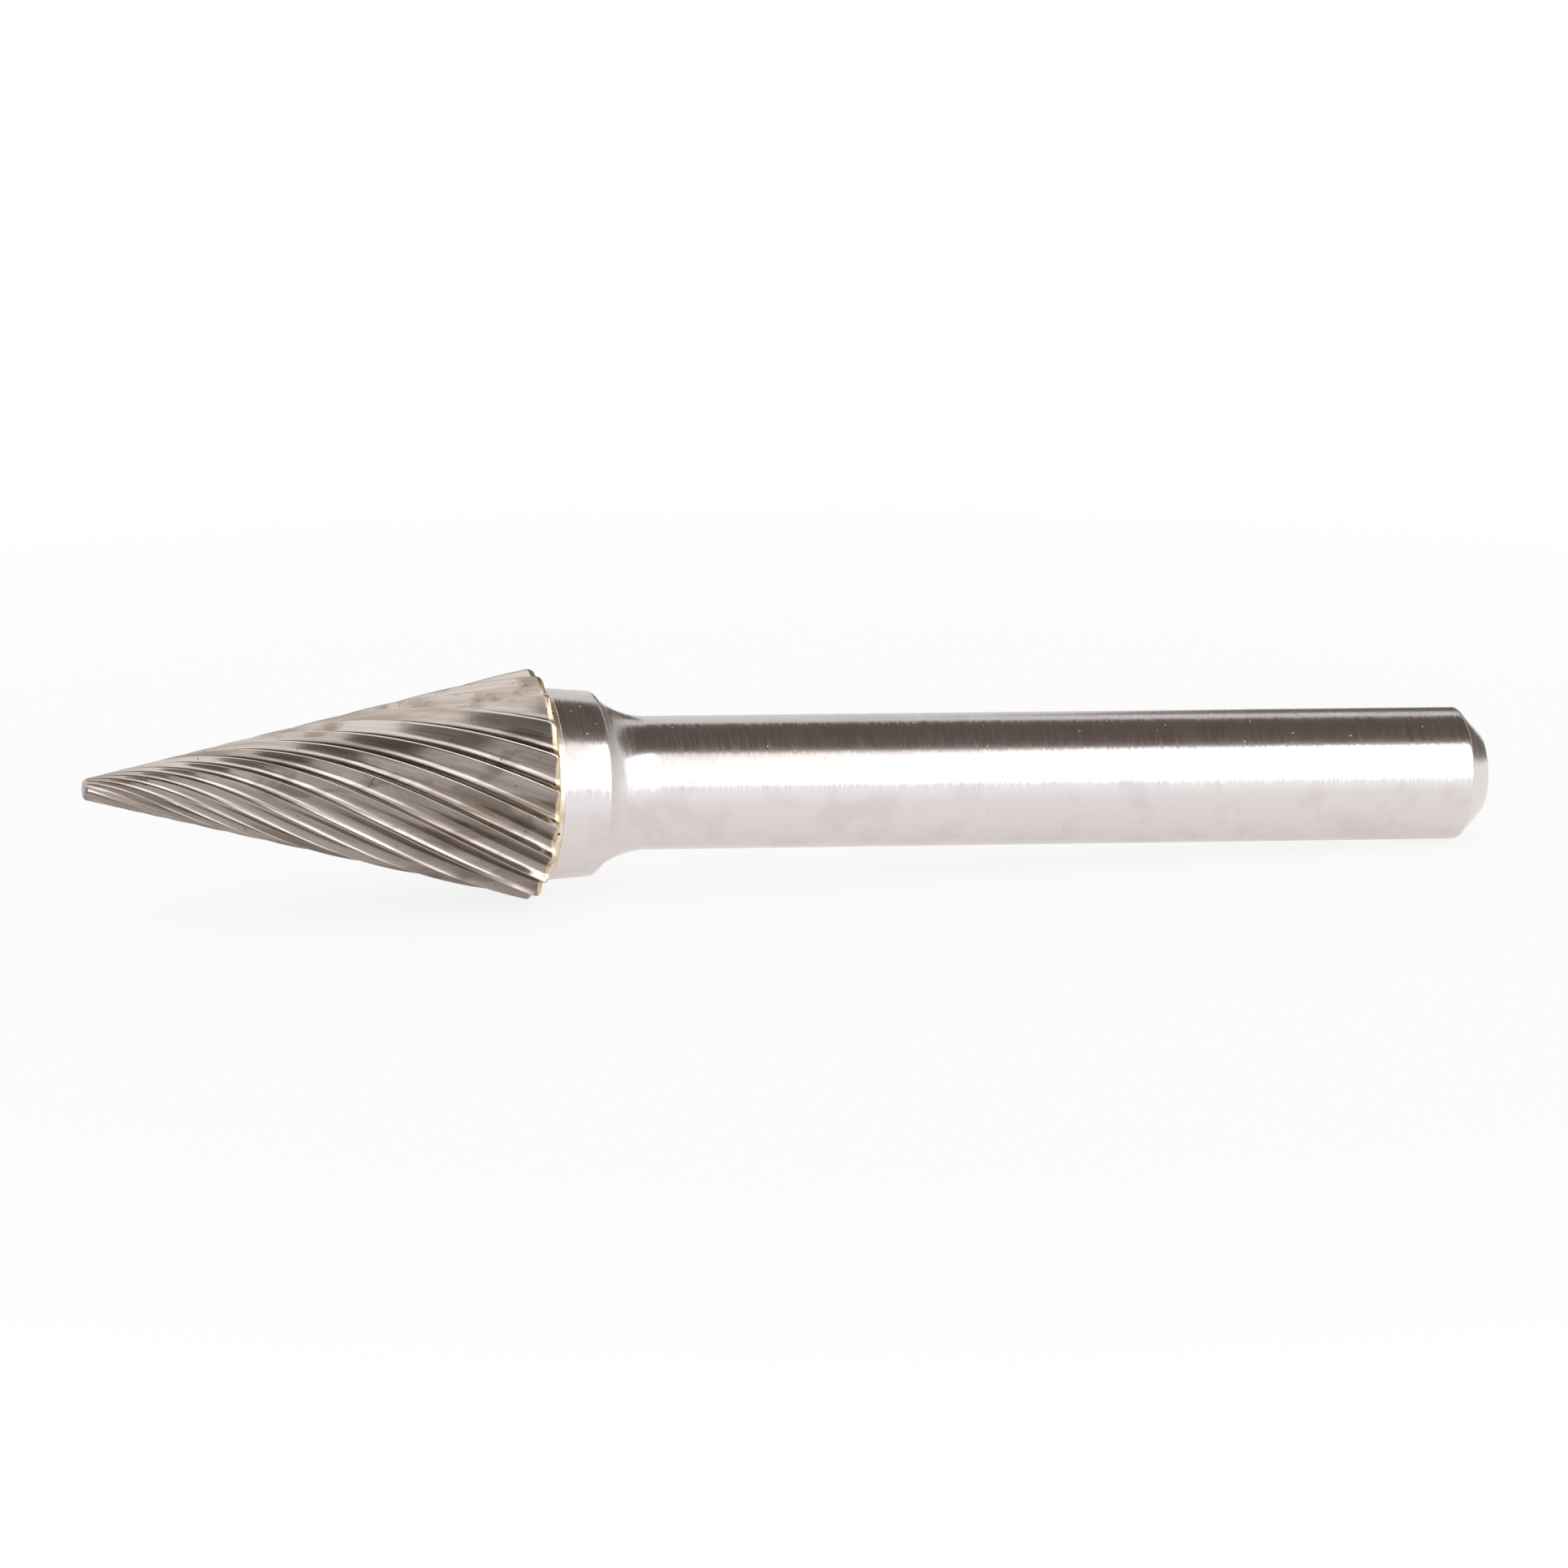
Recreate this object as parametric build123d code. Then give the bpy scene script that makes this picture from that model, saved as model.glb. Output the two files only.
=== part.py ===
from build123d import *
from math import acos, cos, degrees, log, radians, sin, tan
import os

# Pointed-cone rotary burr: a tungsten carbide head with helical flutes, brazed to a turned steel
# shank. The head is right-hand cut with a right-hand helix. Lengths are in millimetres, angles in
# degrees.
#
# Frame: the tool's axis is the X axis. The origin is the centre of the shank's flat end face, and
# the tip points to -X. The tool lies on its side: -Z falls midway between two teeth, so the head
# stands on a pair of teeth and the shank on its end corner.
#
# A station is a distance along the axis from the tip. A turn is an angle about the axis, from +Z
# towards -Y.

# Whole tool
OVERALL_LENGTH = 65.0

# Head: cone, blunt nose, and a 45 degree chamfer round the back of the teeth
HEAD_DIAMETER = 10.3
HEAD_LENGTH = 20.6
NOSE_DIAMETER = 0.9
NOSE_CHAMFER = 0.15
REAR_CHAMFER = 0.3

# Teeth, sized at the rim, where the cone is widest
TOOTH_COUNT = 20
TOOTH_DEPTH = 0.58
HELIX_ANGLE = 24.0
WINDING_POINT = 4.15        # how far ahead of the tip the point lies that the flutes wind round
FLUTE_OVERRUN = 0.3         # how far the flutes are made past each end, before the ends are cut
FLUTE_STEPS = 36            # lengths that the flutes are lofted in, each turned by the same angle

# Braze between head and collar
BRAZE_LENGTH = 0.36
BRAZE_STEP = 0.06           # how far the braze stands out past the collar, all round
BRAZE_HOLLOW = 0.04         # depth of the hollow that the braze draws in to as it sets

# Shank: collar, fillet and cylinder
SHANK_DIAMETER = 6.0
SHANK_END_CHAMFER = 1.1
COLLAR_DIAMETER = 8.6
COLLAR_LENGTH = 2.15
COLLAR_TAPER = 0.14         # how much the collar's radius falls from its front to its back
COLLAR_CORNER = 0.5         # chamfer at the collar's back corner
CORNER_ROUNDING = 0.2
NECK_RADIUS = 4.1           # concave fillet that runs down to the cylinder

rim_radius = HEAD_DIAMETER / 2
nose_radius = NOSE_DIAMETER / 2
collar_radius = COLLAR_DIAMETER / 2
shank_radius = SHANK_DIAMETER / 2
rim_station = HEAD_LENGTH - REAR_CHAMFER
cone_slope = (rim_radius - nose_radius) / rim_station
tooth_pitch = 360 / TOOTH_COUNT


def profile_point(station, radius):
    """A point of a half section, in the plane of X and Z."""
    return (station - OVERALL_LENGTH, 0, radius)


def turned(outline):
    """The solid that a half section makes when it is turned round the X axis."""
    return revolve(make_face(outline), axis=Axis.X)


def cone_radius(station):
    return nose_radius + cone_slope * station


def flute_turn(station):
    """How far a cutting edge has turned at a station, from where it stands at the rim.

    The edges wind about a point ahead of the tip, so that their angle to the axis falls
    towards the tip.
    """
    winding = tan(radians(HELIX_ANGLE)) * (rim_station + WINDING_POINT) / rim_radius
    return degrees(winding * log((station + WINDING_POINT) / (rim_station + WINDING_POINT)))


def fluted_section(station):
    """The head's section across the axis: a ring of teeth.

    Each tooth has a straight back, which falls from its cutting edge to the root of the
    gullet, and the next tooth's rake face, which rises from that root along a radius.
    """
    edge_radius = cone_radius(station)
    root_radius = edge_radius * (1 - TOOTH_DEPTH / rim_radius)
    first_edge = 180 + tooth_pitch / 2 + flute_turn(station)
    corners = []
    for tooth in range(TOOTH_COUNT):
        turn = radians(first_edge + tooth * tooth_pitch)
        for radius in (root_radius, edge_radius):
            across = -radius * sin(turn)
            corners.append((station - OVERALL_LENGTH, across, radius * cos(turn)))
    return Polyline(*corners, close=True).wire()


def cutting_head():
    """A core of lofted flutes, cut off square at the nose and the back and chamfered at both."""
    first = WINDING_POINT - FLUTE_OVERRUN
    last = WINDING_POINT + HEAD_LENGTH + FLUTE_OVERRUN
    steps = [first * (last / first) ** (step / FLUTE_STEPS) for step in range(FLUTE_STEPS + 1)]
    fluted = Solid.make_loft([fluted_section(step - WINDING_POINT) for step in steps])

    # Both chamfers run on at 45 degrees until they meet, well outside the teeth
    nose_face = nose_radius - NOSE_CHAMFER
    back_face = rim_radius - REAR_CHAMFER
    meeting = (HEAD_LENGTH + back_face - nose_face) / 2
    ends = turned(Polyline(
        profile_point(0, 0),
        profile_point(0, nose_face),
        profile_point(meeting, nose_face + meeting),
        profile_point(HEAD_LENGTH, back_face),
        profile_point(HEAD_LENGTH, 0),
        close=True,
    ))
    return fluted & ends


def braze_joint():
    """A thin disc of braze whose free edge is a shallow hollow between head and collar."""
    front = HEAD_LENGTH
    back = HEAD_LENGTH + BRAZE_LENGTH
    front_radius = collar_radius + BRAZE_STEP
    hollow_radius = (front_radius + collar_radius) / 2 - BRAZE_HOLLOW
    return turned([
        Line(profile_point(front, 0), profile_point(front, front_radius)),
        ThreePointArc(
            profile_point(front, front_radius),
            profile_point((front + back) / 2, hollow_radius),
            profile_point(back, collar_radius),
        ),
        Line(profile_point(back, collar_radius), profile_point(back, 0)),
        Line(profile_point(back, 0), profile_point(front, 0)),
    ])


def shank():
    """Collar, neck and cylinder, turned from one bar."""
    front = HEAD_LENGTH + BRAZE_LENGTH
    back_radius = collar_radius - COLLAR_TAPER
    corner_station = front + COLLAR_LENGTH
    foot_radius = back_radius - COLLAR_CORNER
    foot_station = corner_station + COLLAR_CORNER

    # The neck is an arc that meets the cylinder without a step
    neck_rise = foot_radius - shank_radius
    neck_turn = acos(1 - neck_rise / NECK_RADIUS)
    neck_end = foot_station + NECK_RADIUS * sin(neck_turn)
    middle_rise = NECK_RADIUS * (1 - cos(neck_turn / 2))
    neck_middle = neck_end - NECK_RADIUS * sin(neck_turn / 2)

    corner = profile_point(corner_station, back_radius)
    section = make_face([
        Polyline(
            profile_point(front, 0),
            profile_point(front, collar_radius),
            corner,
            profile_point(foot_station, foot_radius),
        ),
        ThreePointArc(
            profile_point(foot_station, foot_radius),
            profile_point(neck_middle, shank_radius + middle_rise),
            profile_point(neck_end, shank_radius),
        ),
        Polyline(
            profile_point(neck_end, shank_radius),
            profile_point(OVERALL_LENGTH - SHANK_END_CHAMFER, shank_radius),
            profile_point(OVERALL_LENGTH, shank_radius - SHANK_END_CHAMFER),
            profile_point(OVERALL_LENGTH, 0),
            profile_point(front, 0),
        ),
    ])
    collar_corner = section.vertices().sort_by_distance(corner)[0]
    return revolve(fillet(collar_corner, CORNER_ROUNDING), axis=Axis.X)


os.makedirs("parts", exist_ok=True)
export_step(cutting_head(), "parts/cutting_head.step")
export_step(braze_joint(), "parts/braze_joint.step")
export_step(shank(), "parts/shank.step")
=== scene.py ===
from math import acos, atan2, cos, e, pi, radians, sin, tan

import bpy
from mathutils import Matrix, Vector, noise


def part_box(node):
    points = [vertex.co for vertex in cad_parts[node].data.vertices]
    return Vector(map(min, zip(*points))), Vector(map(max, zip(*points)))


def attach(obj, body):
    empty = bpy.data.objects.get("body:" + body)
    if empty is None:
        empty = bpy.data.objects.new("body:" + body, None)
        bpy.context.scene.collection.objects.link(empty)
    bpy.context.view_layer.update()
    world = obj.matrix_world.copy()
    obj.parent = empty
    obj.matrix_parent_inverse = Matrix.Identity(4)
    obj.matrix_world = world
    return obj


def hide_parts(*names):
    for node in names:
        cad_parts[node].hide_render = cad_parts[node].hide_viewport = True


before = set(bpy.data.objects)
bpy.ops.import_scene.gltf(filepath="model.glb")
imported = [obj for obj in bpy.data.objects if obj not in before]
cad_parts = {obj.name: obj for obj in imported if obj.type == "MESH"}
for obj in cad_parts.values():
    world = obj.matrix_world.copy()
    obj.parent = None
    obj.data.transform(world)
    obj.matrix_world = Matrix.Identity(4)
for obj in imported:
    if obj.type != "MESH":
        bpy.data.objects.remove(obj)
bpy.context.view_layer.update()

# Pointed-cone rotary burr: a carbide head with helical flutes, brazed to a turned steel shank. The
# tool's axis is the X axis and its tip points to -X. A station is a distance from the tip, a turn
# is an angle about the axis from +Z towards -Y, and sizes are in millimetres until a mesh is made.


# Cutting head
# One piece of tungsten carbide, sintered and then ground: twenty right-hand helical flutes on a
# pointed cone. The nose is a small flat, and braze has wetted the rounded back ends of the teeth.
MM = 0.001
HEAD_LENGTH = 20.6
RIM_RADIUS = 5.15
RIM_STATION = 20.3
NOSE_RADIUS = 0.45
NOSE_ROUNDING = 0.18
BACK_ROUNDING = 0.28
TEETH = 20
HELIX_ANGLE = 24.0
WINDING_POINT = 4.15        # the flutes wind round a point this far ahead of the tip
LAND_WIDTH = 0.05           # narrow strip behind each cutting edge that the grinder leaves standing
# At the rim and, drawn at the rim's size, at the tip: where back and rake face would meet if the
# gullet weren't rounded, and the rounding. One wheel cut both, so it looks rounder at the tip.
RIM_GULLET = {"foot": 0.26, "depth": 0.8, "rounding": 0.5}
TIP_GULLET = {"foot": 0.45, "depth": 0.69, "rounding": 0.85}
FADE_LENGTH = 3.5           # the gullets run out over this length
FADED_DEPTH = 0.4           # share of their depth that is left at the tip
GULLET_STEPS = 11           # faces round a gullet's floor
END_STEPS = 6               # faces round the nose's edge, and round the back's
FLUTE_ROWS = 260            # rows of faces along the flutes, closer together towards the tip
SHARP_ANGLE = 38.0          # an edge sharper than this stays crisp
JOIN_DISTANCE = 0.001       # points closer than this become one
NICK_REACH = 0.09           # how far a nick in an edge runs down the tooth's back
NICK_DEPTH = 0.05
NICK_SIZE = 0.3
NICK_NOISE = (0.67, 0.75)   # the noise from which an edge begins to break, and is fully broken
NICK_SEED = 3.0

tip_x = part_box("cutting_head")[0].x / MM
cone_slope = (RIM_RADIUS - NOSE_RADIUS) / RIM_STATION
tooth_pitch = 2 * pi * RIM_RADIUS / TEETH


def linear(hex_colour):
    """An sRGB hex colour as the linear values that shaders take, opaque."""
    channels = [int(hex_colour[place:place + 2], 16) / 255 for place in (1, 3, 5)]
    return [c / 12.92 if c < 0.04045 else ((c + 0.055) / 1.055) ** 2.4 for c in channels] + [1.0]


def add(tree, kind, inputs=None, **settings):
    """Adds a node. Each input is a value or the socket that feeds it."""
    node = tree.nodes.new(kind)
    for name, value in settings.items():
        setattr(node, name, value)
    for key, value in (inputs or {}).items():
        if isinstance(value, bpy.types.NodeSocket):
            tree.links.new(value, node.inputs[key])
        else:
            node.inputs[key].default_value = value
    return node


def rounded(corners, pieces=4):
    """A line through corners given as (x, y, radius), each rounded to an arc of its radius."""
    points = []
    for place, (x, y, radius) in enumerate(corners):
        corner = Vector((x, y))
        if not radius:
            points.append(corner)
            continue
        back = (Vector(corners[place - 1][:2]) - corner).normalized()
        ahead = (Vector(corners[place + 1][:2]) - corner).normalized()
        half = back.angle(ahead) / 2
        centre = corner + (back + ahead).normalized() * radius / sin(half)
        start = corner + back * radius / tan(half) - centre
        swing = start.angle_signed(corner + ahead * radius / tan(half) - centre)
        for piece in range(pieces + 1):
            spoke = start.copy()
            spoke.rotate(Matrix.Rotation(-swing * piece / pieces, 2))
            points.append(centre + spoke)
    return points


def guide(name, points):
    """A helper object of points in order, each with its distance along the line through them."""
    travelled, vertices = 0.0, []
    for place, point in enumerate(points):
        if place:
            travelled += (point - points[place - 1]).length
        vertices.append((point.x, point.y, travelled))
    mesh = bpy.data.meshes.new(name)
    mesh.from_pydata(vertices, [(i, i + 1) for i in range(len(vertices) - 1)], [])
    return bpy.data.objects.new(name, mesh), travelled


def tooth_section(name, foot, depth, rounding):
    """One tooth and its gullet, from cutting edge to cutting edge."""
    corner = Vector((tooth_pitch - foot, -depth))
    land_end = Vector((LAND_WIDTH, 0))
    nick_end = land_end + (corner - land_end).normalized() * NICK_REACH
    return guide(name, rounded([
        (0, 0, 0), (*land_end, 0), (*nick_end, 0), (*corner, rounding), (tooth_pitch, 0, 0)
    ], pieces=GULLET_STEPS))


rim_section, section_length = tooth_section("rim_section", **RIM_GULLET)
tip_section, _ = tooth_section("tip_section", **TIP_GULLET)

ends = rounded([
    (0, 0, 0),
    (0, NOSE_RADIUS, NOSE_ROUNDING),
    (HEAD_LENGTH, NOSE_RADIUS + cone_slope * HEAD_LENGTH, BACK_ROUNDING),
    (HEAD_LENGTH, 0, 0),
], pieces=END_STEPS)
nose = [point for point in ends if point.x < HEAD_LENGTH / 2]
nose_length = sum((ahead - behind).length for behind, ahead in zip(nose, nose[1:]))
back = [point for point in ends if point.x > HEAD_LENGTH / 2]
first, last = nose[-1].x + WINDING_POINT, back[0].x + WINDING_POINT
rows = [
    first * (last / first) ** (row / FLUTE_ROWS) - WINDING_POINT for row in range(1, FLUTE_ROWS)
]
cone = [Vector((station, NOSE_RADIUS + cone_slope * station)) for station in rows]
head_outline, _ = guide("head_outline", nose + cone + back)

tree = bpy.data.node_groups.new("Fluted head", "GeometryNodeTree")
sizes = {
    "Rim section": ("NodeSocketObject", rim_section),
    "Tip section": ("NodeSocketObject", tip_section),
    "Head outline": ("NodeSocketObject", head_outline),
    "Teeth": ("NodeSocketInt", TEETH),
    "Tip position": ("NodeSocketFloat", tip_x),
    "Rim radius": ("NodeSocketFloat", RIM_RADIUS),
    "Nose radius": ("NodeSocketFloat", NOSE_RADIUS),
    "Cone slope": ("NodeSocketFloat", cone_slope),
    "Winding point": ("NodeSocketFloat", WINDING_POINT),
    "Rim station": ("NodeSocketFloat", RIM_STATION),
    "Helix slope": ("NodeSocketFloat", tan(radians(HELIX_ANGLE))),
    "Section length": ("NodeSocketFloat", section_length),
    "Fade length": ("NodeSocketFloat", FADE_LENGTH),
    "Faded depth": ("NodeSocketFloat", FADED_DEPTH),
    "Nick reach": ("NodeSocketFloat", LAND_WIDTH + NICK_REACH),
    "Nick depth": ("NodeSocketFloat", NICK_DEPTH),
    "Nick size": ("NodeSocketFloat", NICK_SIZE),
    "Seed": ("NodeSocketFloat", NICK_SEED),
    "Material": ("NodeSocketMaterial", None),
}
for name, (kind, _) in sizes.items():
    tree.interface.new_socket(name, in_out="INPUT", socket_type=kind)
tree.interface.new_socket("Mesh", in_out="OUTPUT", socket_type="NodeSocketGeometry")
given = add(tree, "NodeGroupInput").outputs

# A grid with a column for each point of every tooth's section and a row for each outline point
section, at_tip, outline = (
    add(tree, "GeometryNodeObjectInfo", {"Object": given[name]}).outputs["Geometry"]
    for name in ("Rim section", "Tip section", "Head outline")
)
points, row_count = (
    add(tree, "GeometryNodeAttributeDomainSize", {"Geometry": line}).outputs["Point Count"]
    for line in (section, outline)
)
per_tooth = add(tree, "ShaderNodeMath", {0: points, 1: 1.0}, operation="SUBTRACT").outputs[0]
columns = add(
    tree, "ShaderNodeMath", {0: per_tooth, 1: given["Teeth"], 2: 1.0}, operation="MULTIPLY_ADD"
).outputs[0]
grid = add(tree, "GeometryNodeMeshGrid", {"Vertices X": columns, "Vertices Y": row_count})
index = add(tree, "GeometryNodeInputIndex").outputs[0]
row = add(tree, "ShaderNodeMath", {0: index, 1: row_count}, operation="MODULO").outputs[0]
column = add(tree, "ShaderNodeMath", {0: index, 1: row_count}, operation="DIVIDE").outputs[0]
column = add(tree, "ShaderNodeMath", {0: column}, operation="FLOOR").outputs[0]
point = add(tree, "ShaderNodeMath", {0: column, 1: per_tooth}, operation="MODULO").outputs[0]
tooth = add(tree, "ShaderNodeMath", {0: column, 1: per_tooth}, operation="DIVIDE").outputs[0]
tooth = add(tree, "ShaderNodeMath", {0: tooth}, operation="FLOOR").outputs[0]
place = add(tree, "GeometryNodeInputPosition").outputs[0]
on_section, on_tip, on_outline = (
    add(
        tree, "GeometryNodeSampleIndex", {"Geometry": line, "Value": place, "Index": number},
        data_type="FLOAT_VECTOR",
    ).outputs["Value"]
    for line, number in ((section, point), (at_tip, point), (outline, row))
)
station, end_radius, along = add(tree, "ShaderNodeSeparateXYZ", {0: on_outline}).outputs

# The tip's section gives way to the rim's with the square of the distance. A Mix node takes vectors
# at 4 and 5 and colours at 6 and 7, and gives them at 1 and 2.
from_tip = add(
    tree, "ShaderNodeMath", {0: station, 1: given["Rim station"]},
    operation="DIVIDE", use_clamp=True,
).outputs[0]
from_tip = add(tree, "ShaderNodeMath", {0: from_tip, 1: 2.0}, operation="POWER").outputs[0]
on_section = add(
    tree, "ShaderNodeMix", {"Factor": from_tip, 4: on_tip, 5: on_section}, data_type="VECTOR"
).outputs[1]
round_rim, depth, across = add(tree, "ShaderNodeSeparateXYZ", {0: on_section}).outputs

# The flutes grow with the cone and run out shallow at the tip, and both ends are cut to the outline
faded = add(
    tree, "ShaderNodeMapRange",
    {"Value": station, "From Max": given["Fade length"], "To Min": given["Faded depth"]},
).outputs[0]
depth = add(tree, "ShaderNodeMath", {0: depth, 1: faded}, operation="MULTIPLY").outputs[0]
cone_radius = add(
    tree, "ShaderNodeMath", {0: station, 1: given["Cone slope"], 2: given["Nose radius"]},
    operation="MULTIPLY_ADD",
).outputs[0]
share = add(
    tree, "ShaderNodeMath", {0: depth, 1: given["Rim radius"]}, operation="DIVIDE"
).outputs[0]
fluted = add(
    tree, "ShaderNodeMath", {0: cone_radius, 1: share, 2: cone_radius}, operation="MULTIPLY_ADD"
).outputs[0]
radius = add(tree, "ShaderNodeMath", {0: fluted, 1: end_radius}, operation="MINIMUM").outputs[0]

# A cutting edge turns with the logarithm of its distance from the winding point
ahead = add(
    tree, "ShaderNodeMath", {0: station, 1: given["Winding point"]}, operation="ADD"
).outputs[0]
whole = add(
    tree, "ShaderNodeMath", {0: given["Rim station"], 1: given["Winding point"]}, operation="ADD"
).outputs[0]
share = add(tree, "ShaderNodeMath", {0: ahead, 1: whole}, operation="DIVIDE").outputs[0]
wound = add(tree, "ShaderNodeMath", {0: share, 1: e}, operation="LOGARITHM").outputs[0]
lead = add(tree, "ShaderNodeMath", {0: wound, 1: whole}, operation="MULTIPLY").outputs[0]
lead = add(
    tree, "ShaderNodeMath", {0: lead, 1: given["Helix slope"], 2: round_rim},
    operation="MULTIPLY_ADD",
).outputs[0]
swing = add(
    tree, "ShaderNodeMath", {0: lead, 1: given["Rim radius"]}, operation="DIVIDE"
).outputs[0]
one_pitch = add(
    tree, "ShaderNodeMath", {0: 2 * pi, 1: given["Teeth"]}, operation="DIVIDE"
).outputs[0]
# Half a pitch past straight down, so that two teeth stand on the floor
steps = add(tree, "ShaderNodeMath", {0: tooth, 1: 0.5}, operation="ADD").outputs[0]
turn = add(
    tree, "ShaderNodeMath", {0: steps, 1: one_pitch, 2: swing}, operation="MULTIPLY_ADD"
).outputs[0]
turn = add(tree, "ShaderNodeMath", {0: turn, 1: pi}, operation="ADD").outputs[0]
x = add(tree, "ShaderNodeMath", {0: station, 1: given["Tip position"]}, operation="ADD").outputs[0]
spoke = add(tree, "ShaderNodeCombineXYZ", {"X": x, "Z": radius}).outputs[0]
placed = add(
    tree, "ShaderNodeVectorRotate", {"Vector": spoke, "Angle": turn}, rotation_type="X_AXIS"
).outputs[0]

# Small nicks broken out of the cutting edges, shallower towards the tip
size_here = add(
    tree, "ShaderNodeMath", {0: cone_radius, 1: given["Rim radius"]}, operation="DIVIDE"
).outputs[0]
per_nick = add(
    tree, "ShaderNodeMath", {0: 1.0, 1: given["Nick size"]}, operation="DIVIDE"
).outputs[0]
chance = add(
    tree, "ShaderNodeTexNoise",
    {"Vector": placed, "W": given["Seed"], "Scale": per_nick, "Detail": 2.0},
    noise_dimensions="4D",
).outputs[0]
on_edge = add(
    tree, "ShaderNodeMapRange",
    {"Value": round_rim, "From Max": given["Nick reach"], "To Min": 1.0, "To Max": 0.0},
).outputs[0]
broken = add(
    tree, "ShaderNodeMapRange",
    {"Value": chance, "From Min": NICK_NOISE[0], "From Max": NICK_NOISE[1]},
).outputs[0]
nick = add(tree, "ShaderNodeMath", {0: on_edge, 1: broken}, operation="MULTIPLY").outputs[0]
shrunk = add(tree, "ShaderNodeMath", {0: size_here, 1: 2.0}, operation="POWER").outputs[0]
nick = add(tree, "ShaderNodeMath", {0: nick, 1: shrunk}, operation="MULTIPLY").outputs[0]
nick = add(
    tree, "ShaderNodeMath", {0: nick, 1: given["Nick depth"]}, operation="MULTIPLY"
).outputs[0]
inward = add(
    tree, "ShaderNodeCombineXYZ",
    {"Z": add(tree, "ShaderNodeMath", {0: nick, 1: -1.0}, operation="MULTIPLY").outputs[0]},
).outputs[0]
inward = add(
    tree, "ShaderNodeVectorRotate", {"Vector": inward, "Angle": turn}, rotation_type="X_AXIS"
).outputs[0]
nicked = add(tree, "ShaderNodeVectorMath", {0: placed, 1: inward}, operation="ADD").outputs[0]
metres = add(tree, "ShaderNodeVectorMath", {0: nicked, "Scale": MM}, operation="SCALE").outputs[0]

# A map of the flutes in millimetres: across each tooth and its gullet, and along the head
across = add(tree, "ShaderNodeMath", {0: across, 1: size_here}, operation="MULTIPLY").outputs[0]
developed = add(
    tree, "ShaderNodeMath", {0: tooth, 1: given["Section length"], 2: across},
    operation="MULTIPLY_ADD",
).outputs[0]
map_place = add(tree, "ShaderNodeCombineXYZ", {"X": developed, "Y": along}).outputs[0]
map_place = add(
    tree, "GeometryNodeFieldOnDomain", {"Value": map_place},
    data_type="FLOAT_VECTOR", domain="POINT",
).outputs[0]
mapped = add(
    tree, "GeometryNodeStoreNamedAttribute",
    {"Geometry": grid.outputs["Mesh"], "Name": "flute_map", "Value": map_place},
    data_type="FLOAT2", domain="CORNER",
).outputs[0]
shaped = add(
    tree, "GeometryNodeSetPosition", {"Geometry": mapped, "Position": metres}
).outputs[0]
closed = add(
    tree, "GeometryNodeMergeByDistance", {"Geometry": shaped, "Distance": JOIN_DISTANCE * MM}
).outputs[0]
smooth = add(tree, "GeometryNodeSetShadeSmooth", {"Geometry": closed}).outputs[0]
real = add(tree, "GeometryNodeRealizeInstances", {"Geometry": smooth}).outputs[0]
finished = add(
    tree, "GeometryNodeSetMaterial", {"Geometry": real, "Material": given["Material"]}
).outputs[0]
add(tree, "NodeGroupOutput", {"Mesh": finished})

# Ground cemented carbide: a hard, warm grey metal with a satin sheen. Fine grinding lines run along
# the flutes, with brown heat stains among them. Gold braze has crept over the back ends of the
# teeth, where its colour and softer gloss take over.
CARBIDE = "#A69E97"
CARBIDE_STAIN = "#786D63"
# a lighter colour painted on the lands as a highlight along the cutting edges
CARBIDE_EDGE_HIGHLIGHT = "#BFB8B0"
PORE = "#2A2521"
BRAZE_FILM = "#D3C19D"
CARBIDE_ROUGHNESS = (0.16, 0.25)
GRIND_SPACING = 0.13        # the real lines are finer, and are drawn coarser so that they show
GRIND_LENGTH = 5.0
GRIND_DEPTH = 0.002
GRIND_TINT = 0.2            # how far a line turns to the stain's colour, at most
STAIN_WIDTH = 1.2
STAIN_LENGTH = 9.0
BLOTCH_WIDTH = 1.6
BLOTCH_LENGTH = 4.0
STAIN_TINT = 0.8            # how far a streak or blotch turns to that colour, at most
LAND_HIGHLIGHT_FROM = 2.0             # the painted highlight on the lands begins this far down the flutes
LAND_HIGHLIGHT_FULL = 12.36          # and is full from here
PORE_CELL = 0.55
PORE_RADIUS = 0.045
PORE_SHARE = 0.4
# Where the crack begins, and how it runs across a tooth. It slopes and wanders down the flute.
CRACK = {"tooth": 16, "station": 12.28, "start": 0.02, "end": 0.66, "width": 0.02}
CRACK_RUN = {"slope": -0.27, "kinks": 4.0, "wander": 0.35}
CREEP_LENGTH = 0.19         # how far the braze has crept over the back, on average
CREEP_RAG = 0.2             # how far its front comes and goes
CREEP_BLUR = 0.03           # how far its colour fades, each way
CREEP_LOBES = 2.2           # lobes of the front in a millimetre
FILM_ROUGHNESS = 0.38


def empty_finish(name):
    """A new material and its node tree, with nothing in it yet."""
    material = bpy.data.materials.new(name)
    material.use_nodes = True
    material.node_tree.nodes.clear()
    return material, material.node_tree


def specks(surface, place, cell, radius, share, core):
    """Round specks, 1 inside and 0 outside, in a share of the cells that the surface divides into.

    A speck is solid to the core, a share of its radius, and fades from there.
    """
    cells = add(surface, "ShaderNodeTexVoronoi", {"Vector": place, "Scale": 1 / cell / MM}).outputs
    picked = add(surface, "ShaderNodeSeparateXYZ", {0: cells["Color"]}).outputs["X"]
    picked = add(
        surface, "ShaderNodeMath", {0: picked, 1: 1 - share}, operation="GREATER_THAN"
    ).outputs[0]
    disc = add(
        surface, "ShaderNodeMapRange",
        {
            "Value": cells["Distance"], "From Min": core * radius / cell, "From Max": radius / cell,
            "To Min": 1.0, "To Max": 0.0,
        },
    ).outputs[0]
    return add(surface, "ShaderNodeMath", {0: disc, 1: picked}, operation="MULTIPLY").outputs[0]


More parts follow.
